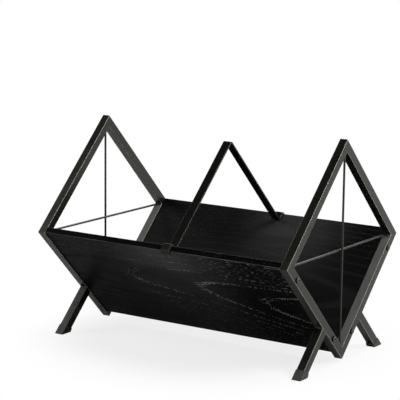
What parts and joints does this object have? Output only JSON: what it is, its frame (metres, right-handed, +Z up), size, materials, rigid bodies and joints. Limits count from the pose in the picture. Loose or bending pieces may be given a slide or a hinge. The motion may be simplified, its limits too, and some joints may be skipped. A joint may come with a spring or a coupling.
{
  "type": "record storage stand",
  "caption": "Free-standing trough for record sleeves: two boards between square tube end frames set on a corner, with a sliding divider bar.",
  "frame": {"origin": "on the floor, under the middle of the stand", "axes": "+X along the trough, -Y to the front board, +Z up"},
  "size_m": [0.407, 0.2992, 0.3012],
  "materials": {
    "coated_steel": "satin black powder coat",
    "divider_steel": "semi-gloss black powder coat",
    "board_wood": "black-stained open-pore ash veneer, matt",
    "foot_plastic": "matt dark grey moulded plastic",
    "bolt_steel": "black-zinc plated",
    "insert_brass": "plain turned"
  },
  "bodies": {
    "frame": {"left_lower_front_tube": "coated_steel", "left_lower_back_tube": "coated_steel", "left_upper_front_tube": "coated_steel", "left_upper_back_tube": "coated_steel", "right_lower_front_tube": "coated_steel", "right_lower_back_tube": "coated_steel", "right_upper_front_tube": "coated_steel", "right_upper_back_tube": "coated_steel", "left_front_leg": "coated_steel", "left_back_leg": "coated_steel", "right_front_leg": "coated_steel", "right_back_leg": "coated_steel", "left_front_foot": "foot_plastic", "left_back_foot": "foot_plastic", "right_front_foot": "foot_plastic", "right_back_foot": "foot_plastic", "left_vertical_rod": "coated_steel", "left_horizontal_rod": "coated_steel", "right_vertical_rod": "coated_steel", "right_horizontal_rod": "coated_steel", "front_panel": "board_wood", "back_panel": "board_wood", "left_bolts": "bolt_steel", "right_bolts": "bolt_steel", "left_inserts": "insert_brass", "right_inserts": "insert_brass"},
    "divider": {"divider": "divider_steel"}
  },
  "joints": [
    {"name": "divider_slide", "type": "slide", "parent": "frame", "child": "divider", "axis": [1, 0, 0], "range_m": [-0.195, 0.167]}
  ]
}
